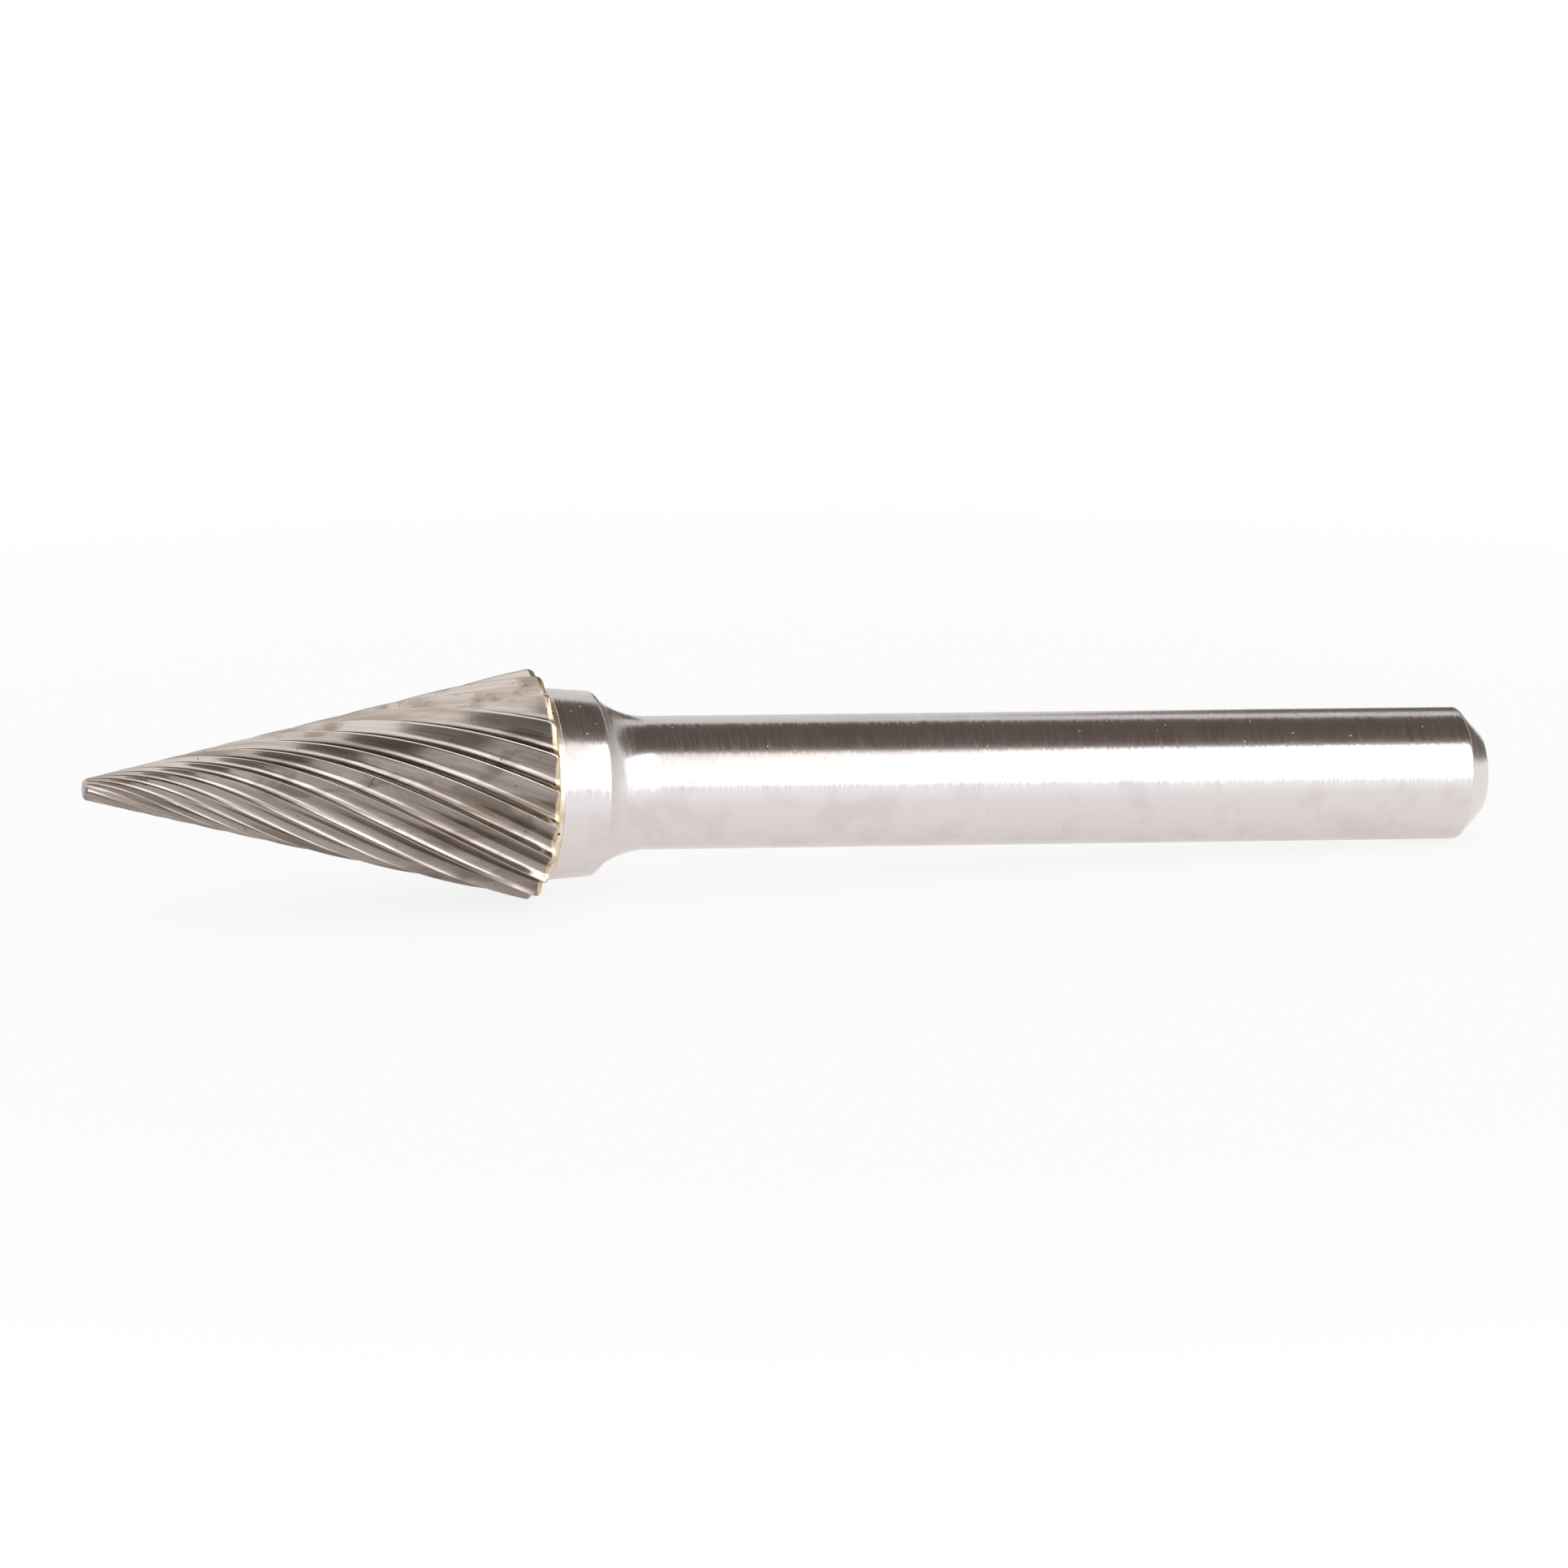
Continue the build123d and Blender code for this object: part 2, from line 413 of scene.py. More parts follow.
carbide, surface = empty_finish("ground_cemented_carbide")
flute_map = add(surface, "ShaderNodeUVMap", uv_map="flute_map").outputs[0]
grain = add(
    surface, "ShaderNodeMapping",
    {"Vector": flute_map, "Scale": (1 / GRIND_SPACING, 1 / GRIND_LENGTH, 1.0)},
).outputs[0]
grind = add(
    surface, "ShaderNodeTexNoise",
    {"Vector": grain, "Scale": 1.0, "Detail": 3.0, "Distortion": 0.2}, noise_dimensions="2D",
).outputs[0]

# Heat and coolant have left faint brown streaks, which run with the flutes as the grinding does,
# and a few larger blotches
streak = add(
    surface, "ShaderNodeMapping",
    {"Vector": flute_map, "Scale": (1 / STAIN_WIDTH, 1 / STAIN_LENGTH, 1.0)},
).outputs[0]
stain = add(
    surface, "ShaderNodeTexNoise",
    {"Vector": streak, "Scale": 1.0, "Detail": 4.0, "Roughness": 0.55, "Distortion": 0.3},
    noise_dimensions="2D",
).outputs[0]
stained = add(
    surface, "ShaderNodeMapRange",
    {"Value": stain, "From Min": 0.42, "From Max": 0.72, "To Max": STAIN_TINT},
).outputs[0]
place = add(surface, "ShaderNodeTexCoord").outputs["Object"]
spread = add(
    surface, "ShaderNodeMapping",
    {
        "Vector": place,
        "Scale": (1 / BLOTCH_LENGTH / MM, 1 / BLOTCH_WIDTH / MM, 1 / BLOTCH_WIDTH / MM),
    },
).outputs[0]
blotch = add(
    surface, "ShaderNodeTexNoise",
    {"Vector": spread, "Scale": 1.0, "Detail": 5.0, "Distortion": 0.4},
).outputs[0]
blotch = add(
    surface, "ShaderNodeMapRange",
    {"Value": blotch, "From Min": 0.52, "From Max": 0.64, "To Max": STAIN_TINT},
).outputs[0]
stained = add(surface, "ShaderNodeMath", {0: stained, 1: blotch}, operation="MAXIMUM").outputs[0]
lined = add(
    surface, "ShaderNodeMapRange",
    {"Value": grind, "From Min": 0.3, "From Max": 0.7, "To Max": GRIND_TINT},
).outputs[0]
stained = add(
    surface, "ShaderNodeMath", {0: stained, 1: lined}, operation="ADD", use_clamp=True
).outputs[0]
metal_colour = add(
    surface, "ShaderNodeMix",
    {"Factor": stained, 6: linear(CARBIDE), 7: linear(CARBIDE_STAIN)}, data_type="RGBA",
).outputs[2]

# Painted highlight: a lighter colour on the narrow land behind each cutting edge, more so where it
# is wider
over, down, _ = add(surface, "ShaderNodeSeparateXYZ", {0: flute_map}).outputs
from_edge = add(
    surface, "ShaderNodeMath", {0: over, 1: section_length}, operation="MODULO"
).outputs[0]
land_highlight = add(
    surface, "ShaderNodeMapRange",
    {
        "Value": from_edge, "From Min": 0.6 * LAND_WIDTH, "From Max": LAND_WIDTH,
        "To Min": 1.0, "To Max": 0.0,
    },
).outputs[0]
highlight_growth = add(
    surface, "ShaderNodeMapRange", {"Value": down, "From Min": LAND_HIGHLIGHT_FROM, "From Max": LAND_HIGHLIGHT_FULL}
).outputs[0]
land_highlight = add(surface, "ShaderNodeMath", {0: land_highlight, 1: highlight_growth}, operation="MULTIPLY").outputs[0]
metal_colour = add(
    surface, "ShaderNodeMix", {"Factor": land_highlight, 6: metal_colour, 7: linear(CARBIDE_EDGE_HIGHLIGHT)},
    data_type="RGBA",
).outputs[2]

# Pores left by the sintering, and a short crack that runs down the back of one tooth
pores = specks(surface, place, PORE_CELL, PORE_RADIUS, PORE_SHARE, core=0.5)
crack_start = CRACK["tooth"] * section_length + CRACK["start"]
crack_along = nose_length + (CRACK["station"] - nose[-1].x) * Vector((1, cone_slope)).length
over = add(surface, "ShaderNodeMath", {0: over, 1: crack_start}, operation="SUBTRACT").outputs[0]
run = add(
    surface, "ShaderNodeMath", {0: over, 1: CRACK_RUN["slope"], 2: crack_along},
    operation="MULTIPLY_ADD",
).outputs[0]
wander = add(
    surface, "ShaderNodeTexNoise", {"W": over, "Scale": CRACK_RUN["kinks"], "Detail": 3.0},
    noise_dimensions="1D",
).outputs[0]
run = add(
    surface, "ShaderNodeMath", {0: wander, 1: CRACK_RUN["wander"], 2: run},
    operation="MULTIPLY_ADD",
).outputs[0]
aside = add(surface, "ShaderNodeMath", {0: down, 1: run}, operation="SUBTRACT").outputs[0]
aside = add(surface, "ShaderNodeMath", {0: aside}, operation="ABSOLUTE").outputs[0]
split = add(
    surface, "ShaderNodeMapRange",
    {
        "Value": aside, "From Min": 0.4 * CRACK["width"], "From Max": CRACK["width"],
        "To Min": 1.0, "To Max": 0.0,
    },
).outputs[0]
begun = add(surface, "ShaderNodeMath", {0: over, 1: 0.0}, operation="GREATER_THAN").outputs[0]
ended = add(
    surface, "ShaderNodeMath", {0: over, 1: CRACK["end"] - CRACK["start"]}, operation="LESS_THAN"
).outputs[0]
split = add(surface, "ShaderNodeMath", {0: split, 1: begun}, operation="MULTIPLY").outputs[0]
split = add(surface, "ShaderNodeMath", {0: split, 1: ended}, operation="MULTIPLY").outputs[0]
flaw = add(surface, "ShaderNodeMath", {0: split, 1: pores}, operation="MAXIMUM").outputs[0]
metal_colour = add(
    surface, "ShaderNodeMix", {"Factor": flaw, 6: metal_colour, 7: linear(PORE)}, data_type="RGBA"
).outputs[2]
smoothest, roughest = CARBIDE_ROUGHNESS
metal_rough = add(
    surface, "ShaderNodeMapRange",
    {"Value": grind, "From Min": 0.3, "From Max": 0.7, "To Min": smoothest, "To Max": roughest},
).outputs[0]

# The braze's ragged front, measured from the back of the head
along_axis = add(surface, "ShaderNodeSeparateXYZ", {0: place}).outputs["X"]
ragged = add(
    surface, "ShaderNodeTexNoise", {"Vector": place, "Scale": CREEP_LOBES / MM, "Detail": 3.0}
).outputs[0]
front = add(
    surface, "ShaderNodeMath", {0: ragged, 1: CREEP_RAG * MM, 2: along_axis},
    operation="MULTIPLY_ADD",
).outputs[0]
film_x = tip_x + HEAD_LENGTH - CREEP_LENGTH + CREEP_RAG / 2
crept = add(
    surface, "ShaderNodeMapRange",
    {
        "Value": front,
        "From Min": (film_x - CREEP_BLUR) * MM, "From Max": (film_x + CREEP_BLUR) * MM,
    },
).outputs[0]
colour = add(
    surface, "ShaderNodeMix", {"Factor": crept, 6: metal_colour, 7: linear(BRAZE_FILM)},
    data_type="RGBA",
).outputs[2]
rough = add(
    surface, "ShaderNodeMix", {"Factor": crept, "A": metal_rough, "B": FILM_ROUGHNESS},
    data_type="FLOAT",
).outputs[0]
grind_bump = add(
    surface, "ShaderNodeBump", {"Height": grind, "Strength": 0.3, "Distance": GRIND_DEPTH * MM}
).outputs[0]
shader = add(
    surface, "ShaderNodeBsdfPrincipled",
    {"Metallic": 1.0, "Base Color": colour, "Roughness": rough, "Normal": grind_bump},
).outputs[0]
add(surface, "ShaderNodeOutputMaterial", {"Surface": shader})

# The nodes make the head on an empty object, and the result is kept as a plain mesh
grid_object = bpy.data.objects.new("fluted_head_grid", bpy.data.meshes.new("fluted_head_grid"))
bpy.context.scene.collection.objects.link(grid_object)
modifier = grid_object.modifiers.new("Fluted head", "NODES")
modifier.node_group = tree
sizes["Material"] = ("NodeSocketMaterial", carbide)
for item in tree.interface.items_tree:
    if item.in_out == "INPUT":
        modifier[item.identifier] = sizes[item.name][1]
evaluated = grid_object.evaluated_get(bpy.context.evaluated_depsgraph_get())
head_mesh = bpy.data.meshes.new_from_object(evaluated)
grid_object.modifiers.remove(modifier)
for helper in (grid_object, rim_section, tip_section, head_outline):
    bpy.data.objects.remove(helper)


def fix(name, mesh, node):
    """Hangs a finished mesh on the tool in place of a CAD node."""
    made = bpy.data.objects.new(name, mesh)
    bpy.context.scene.collection.objects.link(made)
    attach(made, "root")
    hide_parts(node)


head_mesh.name = "fluted_head"
head_mesh.set_sharp_from_angle(angle=radians(SHARP_ANGLE))
fix("fluted_head", head_mesh, "cutting_head")


# Braze joint
# A thin film of gold-coloured silver braze between the head and the shank. It melted between the
# two, ran out to a narrow bead round the seam and set in small lumps, with a few pits.
BRAZE_LENGTH = 0.36
COLLAR_RADIUS = 4.3
BRAZE_CLIMB = 0.2           # how far past the collar the bead has crept up the back of the head
BEAD_LENGTH = 0.126         # length over which it falls from there
BEAD_RISE = 0.03            # to this far past the collar
BEAD_FOOT = -0.01           # and then to this, where it meets the collar's edge
BRAZE_ROUNDING = 0.22
LUMP_HEIGHT = 0.025
LUMP_SIZE = 0.9
SEGMENTS = 256              # faces round the tool


def turned(name, outline, lumps=0.0, lump_size=1.0):
    """A mesh made by turning an outline, from axis to axis, round the X axis.

    Lumps stand out of it and sink in by up to the height given, and are about as wide as their size.
    """
    vertices, faces = [], []
    for step in range(SEGMENTS):
        turn = 2 * pi * step / SEGMENTS
        for point in outline[1:-1]:
            spot = Vector((point.x, -sin(turn) * point.y, cos(turn) * point.y))
            radius = point.y + lumps * noise.noise(spot / lump_size)
            vertices.append(Vector((tip_x + point.x, -sin(turn) * radius, cos(turn) * radius)) * MM)
    inner = len(outline) - 2
    poles = [len(vertices), len(vertices) + 1]
    for end in (outline[0], outline[-1]):
        vertices.append(Vector((tip_x + end.x, 0, 0)) * MM)
    for step in range(SEGMENTS):
        here, there = step * inner, (step + 1) % SEGMENTS * inner
        faces.append((poles[0], here, there))
        for row in range(inner - 1):
            faces.append((here + row, here + row + 1, there + row + 1, there + row))
        faces.append((here + inner - 1, poles[1], there + inner - 1))
    mesh = bpy.data.meshes.new(name)
    mesh.from_pydata(vertices, [], faces)
    mesh.validate()
    mesh.shade_smooth()
    mesh.set_sharp_from_angle(angle=radians(SHARP_ANGLE))
    return mesh


collar_front = HEAD_LENGTH + BRAZE_LENGTH

# Silver braze as it set: a pale, warm yellow metal with a soft gloss, cloudier and redder where the
# flux burned, and with a few dark pinholes where gas got out.
BRAZE_CREAM = "#E6DACB"
BRAZE_BURNT = "#CDB68F"
PINHOLE = "#1E1813"
CLOUD_SIZE = 0.8
CLOUD_DEPTH = 0.05
BRAZE_ROUGHNESS = (0.22, 0.4)
PINHOLE_TURNS = (109, 31, 163, 208, 262, 327)
PINHOLE_RADIUS = 0.09
PINHOLE_DEPTH = 0.05

braze, surface = empty_finish("set_silver_braze")
place = add(surface, "ShaderNodeTexCoord").outputs["Object"]
cloud = add(
    surface, "ShaderNodeTexNoise", {"Vector": place, "Scale": 1 / CLOUD_SIZE / MM, "Detail": 4.0}
).outputs[0]
burnt = add(
    surface, "ShaderNodeMapRange", {"Value": cloud, "From Min": 0.48, "From Max": 0.75},
).outputs[0]
colour = add(
    surface, "ShaderNodeMix",
    {"Factor": burnt, 6: linear(BRAZE_CREAM), 7: linear(BRAZE_BURNT)}, data_type="RGBA",
).outputs[2]
nearest = 1.0               # a metre, further than any pinhole
for turn in PINHOLE_TURNS:
    spot = Vector((
        tip_x + HEAD_LENGTH + BRAZE_LENGTH / 2,
        -COLLAR_RADIUS * sin(radians(turn)), COLLAR_RADIUS * cos(radians(turn)),
    )) * MM
    away = add(surface, "ShaderNodeVectorMath", {0: place, 1: spot}, operation="DISTANCE")
    nearest = add(
        surface, "ShaderNodeMath", {0: nearest, 1: away.outputs["Value"]}, operation="MINIMUM"
    ).outputs[0]
hole = add(
    surface, "ShaderNodeMapRange",
    {
        "Value": nearest, "From Min": 0.6 * PINHOLE_RADIUS * MM, "From Max": PINHOLE_RADIUS * MM,
        "To Min": 1.0, "To Max": 0.0,
    },
).outputs[0]
colour = add(
    surface, "ShaderNodeMix", {"Factor": hole, 6: colour, 7: linear(PINHOLE)}, data_type="RGBA"
).outputs[2]
smoothest, roughest = BRAZE_ROUGHNESS
rough = add(
    surface, "ShaderNodeMapRange",
    {"Value": cloud, "From Min": 0.3, "From Max": 0.7, "To Min": smoothest, "To Max": roughest},
).outputs[0]
ripple = add(
    surface, "ShaderNodeBump", {"Height": cloud, "Strength": 0.6, "Distance": CLOUD_DEPTH * MM}
).outputs[0]
sunk = add(
    surface, "ShaderNodeBump",
    {"Height": hole, "Strength": 1.0, "Distance": PINHOLE_DEPTH * MM, "Normal": ripple},
    invert=True,
).outputs[0]
shader = add(
    surface, "ShaderNodeBsdfPrincipled",
    {"Metallic": 1.0, "Base Color": colour, "Roughness": rough, "Normal": sunk},
).outputs[0]
add(surface, "ShaderNodeOutputMaterial", {"Surface": shader})

braze_mesh = turned("braze_bead", rounded([
    (HEAD_LENGTH, 0, 0),
    (HEAD_LENGTH, COLLAR_RADIUS + BRAZE_CLIMB, 0),
    (HEAD_LENGTH + BEAD_LENGTH, COLLAR_RADIUS + BEAD_RISE, BRAZE_ROUNDING),
    (collar_front, COLLAR_RADIUS + BEAD_FOOT, 0),
    (collar_front, 0, 0),
]), LUMP_HEIGHT, LUMP_SIZE)
braze_mesh.materials.append(braze)
fix("braze_bead", braze_mesh, "braze_joint")


# Shank
# One bar of steel, turned to a collar and a neck and then ground to six millimetres, so fine
# scratches run round it. The end has a wide chamfer.
OVERALL_LENGTH = 65.0
SHANK_RADIUS = 3.0
END_CHAMFER = 1.1
CHAMFER_ROUNDING = 0.24     # where the chamfer leaves the cylinder
END_ROUNDING = 0.16         # where it meets the end face
COLLAR_LENGTH = 2.15
COLLAR_TAPER = 0.14         # how much thinner the collar is at its back, in radius
COLLAR_CORNER = 0.5         # chamfer at its back corner
FRONT_ROUNDING = 0.04
CORNER_ROUNDING = 0.3
NECK_RADIUS = 4.1           # hollow that runs down to the cylinder
NECK_STEPS = 12

collar_back = collar_front + COLLAR_LENGTH
collar_back_radius = COLLAR_RADIUS - COLLAR_TAPER
foot_radius = collar_back_radius - COLLAR_CORNER
foot_station = collar_back + COLLAR_CORNER
neck_turn = acos(1 - (foot_radius - SHANK_RADIUS) / NECK_RADIUS)
neck_end = foot_station + NECK_RADIUS * sin(neck_turn)
neck = [
    Vector((
        neck_end - NECK_RADIUS * sin(neck_turn * (1 - step / NECK_STEPS)),
        SHANK_RADIUS + NECK_RADIUS * (1 - cos(neck_turn * (1 - step / NECK_STEPS))),
    ))
    for step in range(NECK_STEPS)
]

# Ground tool steel: near a mirror, blurred along the tool by fine scratches that run round it. The
# collar's back corner was only turned, so it is duller, down into the neck.
STEEL = "#DCD6D3"
STEEL_SMEARED = "#D6CFCD"
DUST = "#E4DDD7"
GROUND_ROUGHNESS = (0.16, 0.25)
TURNED_ROUGHNESS = (0.24, 0.38)
TURNED_IN = (-0.15, 0.1)    # the turned finish comes in between these, past the collar's back edge
TURNED_OUT = (-0.1, 1.1)    # and goes out between these, past the corner's foot
SCRATCH_SPACING = 0.08      # the real ones are finer, and are drawn coarser so that they show
SCRATCH_LENGTH = 1.4
SCRATCH_DEPTH = 0.002
SCRATCH_SWAY = 0.022        # slope that a scratch leans by, round the tool
SMEAR_SIZE = 1.8
SPECK_CELL = 0.45
SPECK_RADIUS = 0.05
SPECK_SHARE = 0.38

steel, surface = empty_finish("ground_tool_steel")
place = add(surface, "ShaderNodeTexCoord").outputs["Object"]
rings = add(
    surface, "ShaderNodeMapping",
    {
        "Vector": place,
        "Scale": (1 / SCRATCH_SPACING / MM, 1 / SCRATCH_LENGTH / MM, 1 / SCRATCH_LENGTH / MM),
    },
).outputs[0]
scratch = add(
    surface, "ShaderNodeTexNoise", {"Vector": rings, "Scale": 1.0, "Detail": 3.0}
).outputs[0]
along_axis = add(surface, "ShaderNodeSeparateXYZ", {0: place}).outputs["X"]
begin, done = ((tip_x + collar_back + past) * MM for past in TURNED_IN)
come_in = add(
    surface, "ShaderNodeMapRange", {"Value": along_axis, "From Min": begin, "From Max": done}
).outputs[0]
begin, done = ((tip_x + foot_station + past) * MM for past in TURNED_OUT)
go_out = add(
    surface, "ShaderNodeMapRange",
    {"Value": along_axis, "From Min": begin, "From Max": done, "To Min": 1.0, "To Max": 0.0},
).outputs[0]
in_corner = add(surface, "ShaderNodeMath", {0: come_in, 1: go_out}, operation="MULTIPLY").outputs[0]
ground, turned_finish = (
    add(
        surface, "ShaderNodeMapRange",
        {"Value": scratch, "From Min": 0.35, "From Max": 0.65, "To Min": low, "To Max": high},
    ).outputs[0]
    for low, high in (GROUND_ROUGHNESS, TURNED_ROUGHNESS)
)
rough = add(
    surface, "ShaderNodeMix", {"Factor": in_corner, "A": ground, "B": turned_finish},
    data_type="FLOAT",
).outputs[0]

# Each scratch leans a little round the tool, which frays the edges of what the steel mirrors
facing = add(surface, "ShaderNodeNewGeometry").outputs["Normal"]
round_tool = add(
    surface, "ShaderNodeVectorMath", {0: facing, 1: (1.0, 0.0, 0.0)}, operation="CROSS_PRODUCT"
).outputs[0]
sway = add(
    surface, "ShaderNodeMapRange",
    {
        "Value": scratch, "From Min": 0.3, "From Max": 0.7,
        "To Min": -SCRATCH_SWAY, "To Max": SCRATCH_SWAY,
    },
).outputs[0]
lean = add(
    surface, "ShaderNodeVectorMath", {0: round_tool, "Scale": sway}, operation="SCALE"
).outputs[0]
leaning = add(surface, "ShaderNodeVectorMath", {0: facing, 1: lean}, operation="ADD").outputs[0]
leaning = add(surface, "ShaderNodeVectorMath", {0: leaning}, operation="NORMALIZE").outputs[0]
ring_bump = add(
    surface, "ShaderNodeBump",
    {"Height": scratch, "Strength": 0.2, "Distance": SCRATCH_DEPTH * MM, "Normal": leaning},
).outputs[0]

# Specks of dust that have settled on the steel, and faint smears where it was handled
dust = specks(surface, place, SPECK_CELL, SPECK_RADIUS, SPECK_SHARE, core=0.6)
smear = add(
    surface, "ShaderNodeTexNoise", {"Vector": place, "Scale": 1 / SMEAR_SIZE / MM, "Detail": 5.0}
).outputs[0]
smear = add(
    surface, "ShaderNodeMapRange", {"Value": smear, "From Min": 0.5, "From Max": 0.62},
).outputs[0]
colour = add(
    surface, "ShaderNodeMix",
    {"Factor": smear, 6: linear(STEEL), 7: linear(STEEL_SMEARED)}, data_type="RGBA",
).outputs[2]
colour = add(
    surface, "ShaderNodeMix", {"Factor": dust, 6: colour, 7: linear(DUST)}, data_type="RGBA"
).outputs[2]
metal = add(surface, "ShaderNodeMath", {0: 1.0, 1: dust}, operation="SUBTRACT").outputs[0]
shader = add(
    surface, "ShaderNodeBsdfPrincipled",
    {"Metallic": metal, "Base Color": colour, "Roughness": rough, "Normal": ring_bump},
).outputs[0]
add(surface, "ShaderNodeOutputMaterial", {"Surface": shader})

collar_line = rounded([
    (collar_front, 0, 0),
    (collar_front, COLLAR_RADIUS, FRONT_ROUNDING),
    (collar_back, collar_back_radius, CORNER_ROUNDING),
    (foot_station, foot_radius, 0),
])
shank_line = rounded([
    (neck_end, SHANK_RADIUS, 0),
    (OVERALL_LENGTH - END_CHAMFER, SHANK_RADIUS, CHAMFER_ROUNDING),
    (OVERALL_LENGTH, SHANK_RADIUS - END_CHAMFER, END_ROUNDING),
    (OVERALL_LENGTH, 0, 0),
])
shank_mesh = turned("ground_shank", collar_line[:-1] + neck + shank_line)
shank_mesh.materials.append(steel)
fix("ground_shank", shank_mesh, "shank")


# Studio
# A white floor, which two teeth and the corner of the shank touch, and white all round. Only the
# metal shows the panels: softboxes in front, a dark flag over the shank, a pale roof over the head,
# and something dark low in front to the left and far behind to the right.
rim_contact = Vector((tip_x + RIM_STATION, 0, -RIM_RADIUS * cos(pi / TEETH))) * MM
end_contact = Vector((tip_x + OVERALL_LENGTH - END_CHAMFER, 0, -SHANK_RADIUS)) * MM
tilt = atan2(end_contact.z - rim_contact.z, end_contact.x - rim_contact.x)
level = Matrix.Translation(rim_contact) @ Matrix.Rotation(-tilt, 4, "Y")


def card(name, corners, material):
    """A panel of the studio, flat or bent, with its corners given in pairs above the floor.

    Its rise goes from 0 at the first pair to 1 at the last.
    """
    mesh = bpy.data.meshes.new(name)
    faces = [(i, i + 1, i + 3, i + 2) for i in range(0, len(corners) - 2, 2)]
    mesh.from_pydata([level @ Vector(corner) for corner in corners], [], faces)
    rise = mesh.attributes.new("rise", "FLOAT", "POINT")
    for place, item in enumerate(rise.data):
        item.value = place // 2 / (len(corners) / 2 - 1)
    mesh.materials.append(material)
    made = bpy.data.objects.new(name, mesh)
    bpy.context.scene.collection.objects.link(made)
    return made


def glow(name, colour, low, high):
    """A panel that only gives out light, at one level along its lower edge and one at its upper."""
    material, cloth = empty_finish(name)
    rise = add(cloth, "ShaderNodeAttribute", attribute_name="rise").outputs["Fac"]
    strength = add(
        cloth, "ShaderNodeMapRange", {"Value": rise, "To Min": low, "To Max": high}
    ).outputs[0]
    light = add(cloth, "ShaderNodeEmission", {"Color": colour, "Strength": strength}).outputs[0]
    add(cloth, "ShaderNodeOutputMaterial", {"Surface": light})
    return material


# Matt white paint. A share of its white is light that falls on it, so that it keeps the tool's soft
# shadow. The rest is given out, so that the floor is white in view and in the metal.
FLOOR_SIZE = 4.0            # in metres
FLOOR_WHITE = "#F4F4F4"
SHADOW_SHARE = 0.15         # of the floor's white in view that light falls on, and shadow dims
SHADOW_REACH = (50, 100)    # from the tool's middle, the share falls to nothing between these
MIRRORED_SHARE = 0.6        # the same share where the metal shows the floor
NEAR_WHITE = "#FFFBFB"      # what is given out to the metal, near (dimmer, as painted shade) and far, and its levels
FAR_WHITE = "#F3F3FF"
NEAR_LEVEL = 1.42
FAR_LEVEL = 1.75
FAR_FROM = (13, 16)         # near turns to far between these, to either side of the tool

floor_paint, surface = empty_finish("white_floor")
matt = add(surface, "ShaderNodeBsdfDiffuse", {"Color": linear(FLOOR_WHITE)}).outputs[0]
white = add(surface, "ShaderNodeEmission", {"Strength": 1.0}).outputs[0]
rays = add(surface, "ShaderNodeLightPath").outputs
place = add(surface, "ShaderNodeTexCoord").outputs["Object"]
middle = Vector((tip_x + OVERALL_LENGTH / 2, 0, 0)) * MM
away = add(surface, "ShaderNodeVectorMath", {0: place, 1: middle}, operation="SUBTRACT").outputs[0]
away = add(surface, "ShaderNodeVectorMath", {0: away}, operation="LENGTH").outputs["Value"]
close, distant = SHADOW_REACH
clear = add(
    surface, "ShaderNodeMapRange",
    {"Value": away, "From Min": close * MM, "From Max": distant * MM},
    interpolation_type="SMOOTHSTEP",
).outputs[0]
in_view = add(
    surface, "ShaderNodeMapRange", {"Value": clear, "To Min": 1 - SHADOW_SHARE},
).outputs[0]
in_view = add(
    surface, "ShaderNodeMath", {0: rays["Is Camera Ray"], 1: in_view}, operation="MULTIPLY"
).outputs[0]
mirrored = add(
    surface, "ShaderNodeMath", {0: rays["Is Glossy Ray"], 1: rays["Is Transmission Ray"]},
    operation="MAXIMUM",
).outputs[0]
mirrored = add(
    surface, "ShaderNodeMath", {0: mirrored, 1: 1 - MIRRORED_SHARE}, operation="MULTIPLY"
).outputs[0]
given_out = add(
    surface, "ShaderNodeMath", {0: in_view, 1: mirrored}, operation="MAXIMUM"
).outputs[0]

# Painted shade: the metal shows the floor close by it a little warmer and dimmer than the floor
# further off, standing in for the tool's shadow there
aside = add(surface, "ShaderNodeSeparateXYZ", {0: place}).outputs["Y"]
aside = add(surface, "ShaderNodeMath", {0: aside}, operation="ABSOLUTE").outputs[0]
close, distant = FAR_FROM
far_off = add(
    surface, "ShaderNodeMapRange",
    {"Value": aside, "From Min": close * MM, "From Max": distant * MM},
).outputs[0]
shade = add(
    surface, "ShaderNodeMix",
    {"Factor": far_off, 6: linear(NEAR_WHITE), 7: linear(FAR_WHITE)}, data_type="RGBA",
).outputs[2]
strength = add(
    surface, "ShaderNodeMapRange", {"Value": far_off, "To Min": NEAR_LEVEL, "To Max": FAR_LEVEL}
).outputs[0]
shown = add(surface, "ShaderNodeEmission", {"Color": shade, "Strength": strength}).outputs[0]
white = add(
    surface, "ShaderNodeMixShader", {0: rays["Is Camera Ray"], 1: shown, 2: white}
).outputs[0]
mixed = add(surface, "ShaderNodeMixShader", {0: given_out, 1: matt, 2: white}).outputs[0]
add(surface, "ShaderNodeOutputMaterial", {"Surface": mixed})

half = FLOOR_SIZE / 2
card(
    "floor", [(-half, -half, 0), (half, -half, 0), (-half, half, 0), (half, half, 0)], floor_paint
)

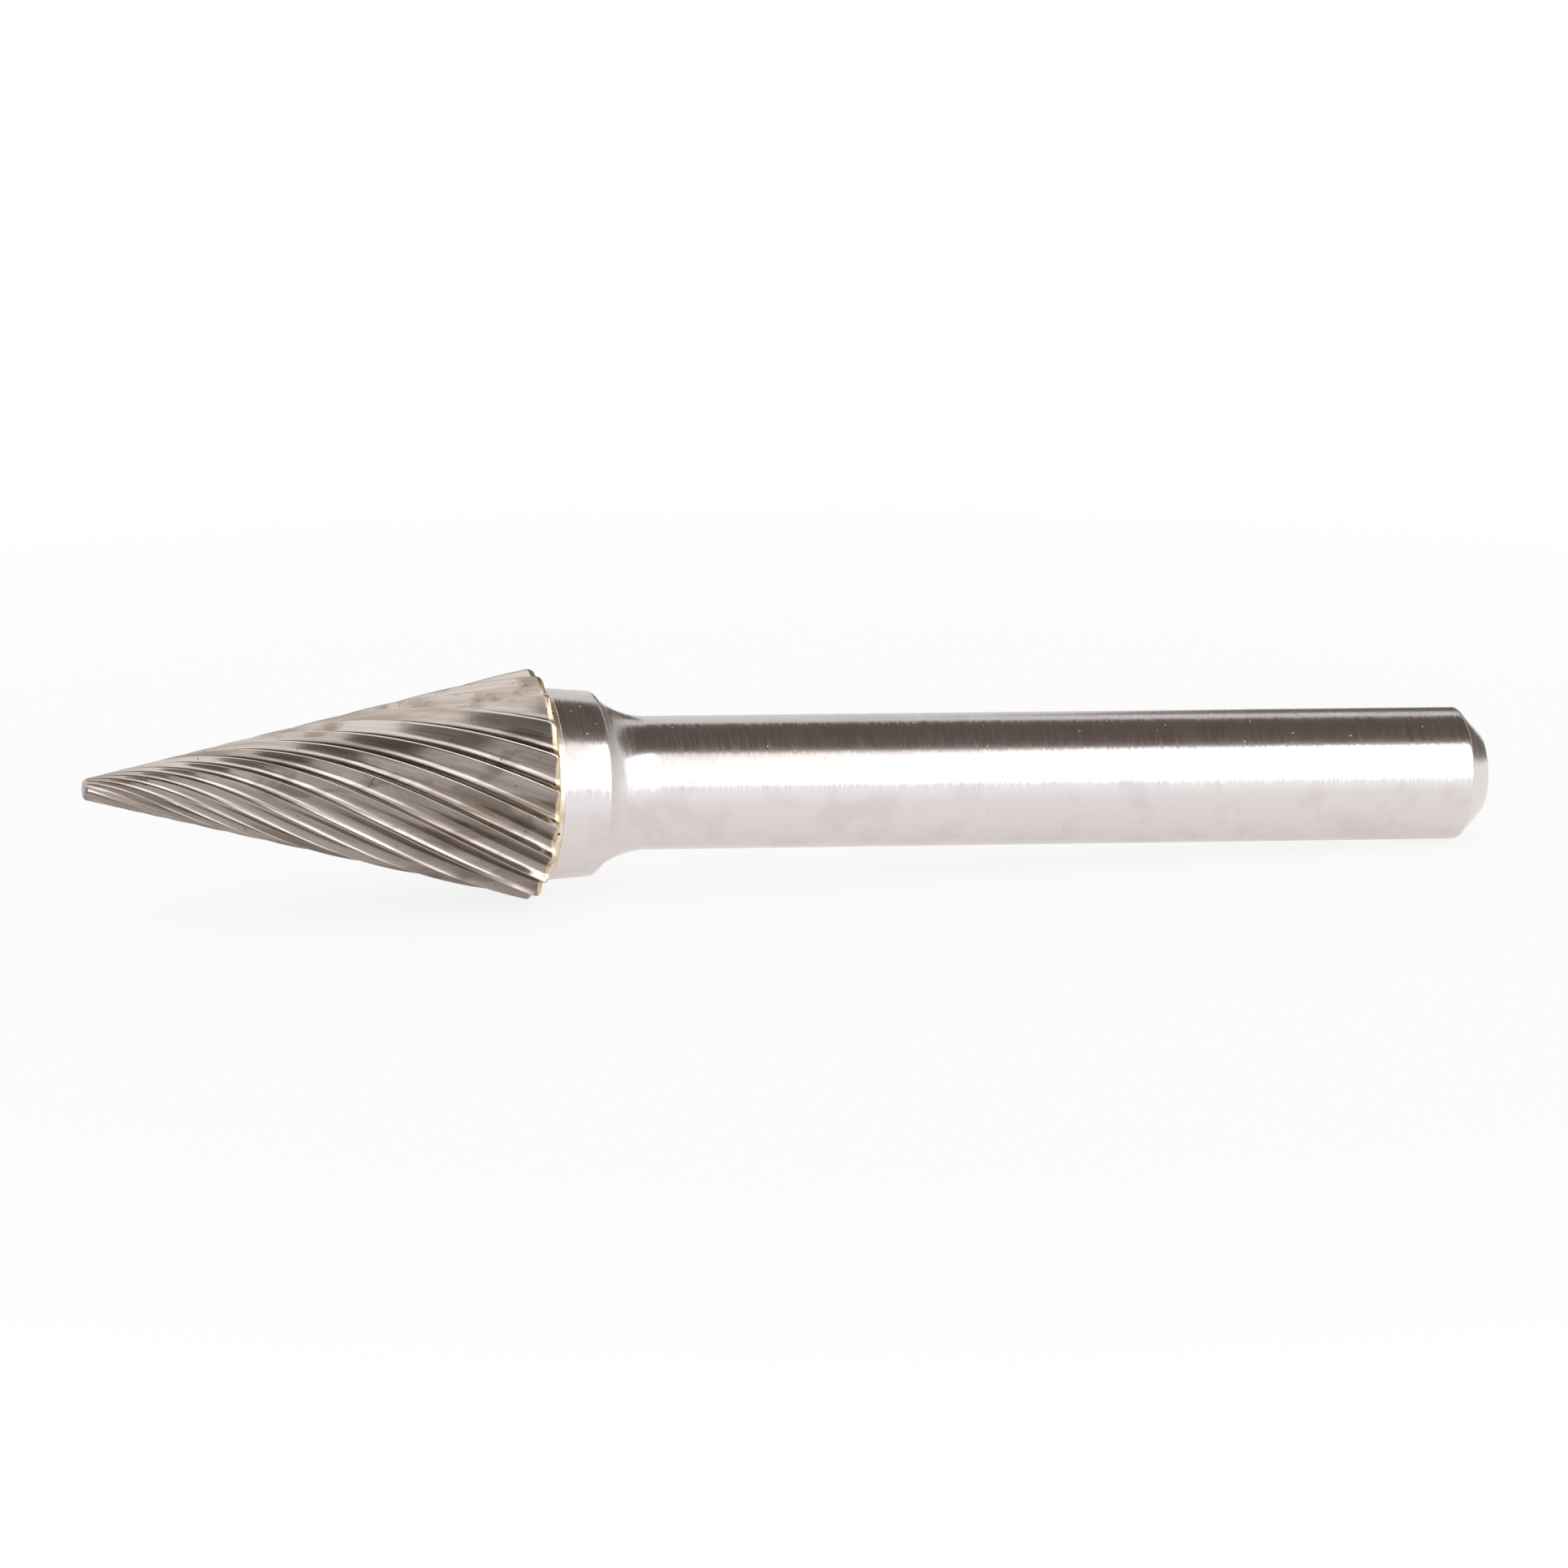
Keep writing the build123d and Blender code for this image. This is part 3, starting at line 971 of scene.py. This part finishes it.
# The room is plain white to the eye and in the metal, and lights everything evenly
AMBIENT = 1.1
world = bpy.data.worlds.new("white_studio")
bpy.context.scene.world = world
world.use_nodes = True
sky = world.node_tree
sky.nodes.clear()
rays = add(sky, "ShaderNodeLightPath").outputs
shown = add(
    sky, "ShaderNodeMath", {0: rays["Is Camera Ray"], 1: rays["Is Glossy Ray"]},
    operation="MAXIMUM",
).outputs[0]
shown = add(
    sky, "ShaderNodeMath", {0: shown, 1: rays["Is Transmission Ray"]}, operation="MAXIMUM"
).outputs[0]
ambient = add(sky, "ShaderNodeBackground", {"Strength": AMBIENT}).outputs[0]
white = add(sky, "ShaderNodeBackground", {"Strength": 1.0}).outputs[0]
mixed = add(sky, "ShaderNodeMixShader", {0: shown, 1: ambient, 2: white}).outputs[0]
add(sky, "ShaderNodeOutputWorld", {"Surface": mixed})

# Each panel hangs along the tool, from its left to its right end, in metres, and is bent round it.
# Its lower and upper edges are angles about the tool: 0 is level in front, 90 overhead and 180
# level behind. It has a level of light at each of them.
PANELS = {
    "left_softbox": dict(across=(-0.14, 0.03), angles=(4, 62), light=(3.9, 3.9), cloth="#FBFAFF"),
    "softbox": dict(across=(0.03, 0.22), angles=(4, 62), light=(1.7, 1.2), cloth="#FFFDFA"),
    "right_softbox": dict(across=(0.22, 0.9), angles=(4, 62), light=(3.9, 3.9), cloth="#FBFAFF"),
    "dark_flag": dict(across=(-0.03, 0.9), angles=(63, 133), light=(1.0, 1.0), cloth="#625750"),
    "pale_roof": dict(across=(-0.9, -0.03), angles=(47, 178), light=(1.9, 1.9), cloth="#FCFBFC"),
    "dark_corner": dict(across=(-0.9, -0.15), angles=(0, 44), light=(1.0, 1.0), cloth="#7F7974"),
    "dark_end": dict(across=(0.18, 1.5), angles=(150, 179), light=(1.0, 1.0), cloth="#6A6058"),
}
PANEL_DISTANCE = 0.45       # from the tool, in metres
BEND = 8                    # flat strips that a panel is bent from
for name, panel in PANELS.items():
    corners = []
    for step in range(BEND + 1):
        low, high = panel["angles"]
        angle = radians(low + (high - low) * step / BEND)
        for x in panel["across"]:
            corners.append((x, -PANEL_DISTANCE * cos(angle), PANEL_DISTANCE * sin(angle)))
    hung = card(name, corners, glow(name, linear(panel["cloth"]), *panel["light"]))
    hung.visible_camera = hung.visible_diffuse = hung.visible_shadow = False

# The view of the photograph: from in front, a little to the left and from a little above
VIEW_AZIMUTH = -15.56
VIEW_ELEVATION = 12.65
VIEW_DISTANCE = 0.603       # in metres
FRAME_WIDTH = 0.07044       # width of the view at the tool, in metres
AIM_STATION = 32.26         # the point of the tool that is in the middle of the view
AIM_HEIGHT = -0.143
SENSOR = 36.0
camera = bpy.data.objects.new("camera", bpy.data.cameras.new("camera"))
bpy.context.scene.collection.objects.link(camera)
bpy.context.scene.camera = camera
camera.data.sensor_width = SENSOR
camera.data.lens = SENSOR * VIEW_DISTANCE / FRAME_WIDTH
camera.data.clip_start, camera.data.clip_end = 0.01, 10.0
round_the_tool = Matrix.Rotation(radians(VIEW_AZIMUTH), 4, "Z")
over_it = Matrix.Rotation(radians(90 - VIEW_ELEVATION), 4, "X")
aim = Vector((tip_x + AIM_STATION, 0, AIM_HEIGHT)) * MM
turn = level.to_3x3().to_4x4() @ round_the_tool @ over_it
camera.matrix_world = Matrix.Translation(aim) @ turn @ Matrix.Translation((0, 0, VIEW_DISTANCE))

bpy.context.scene.view_settings.view_transform = "Standard"
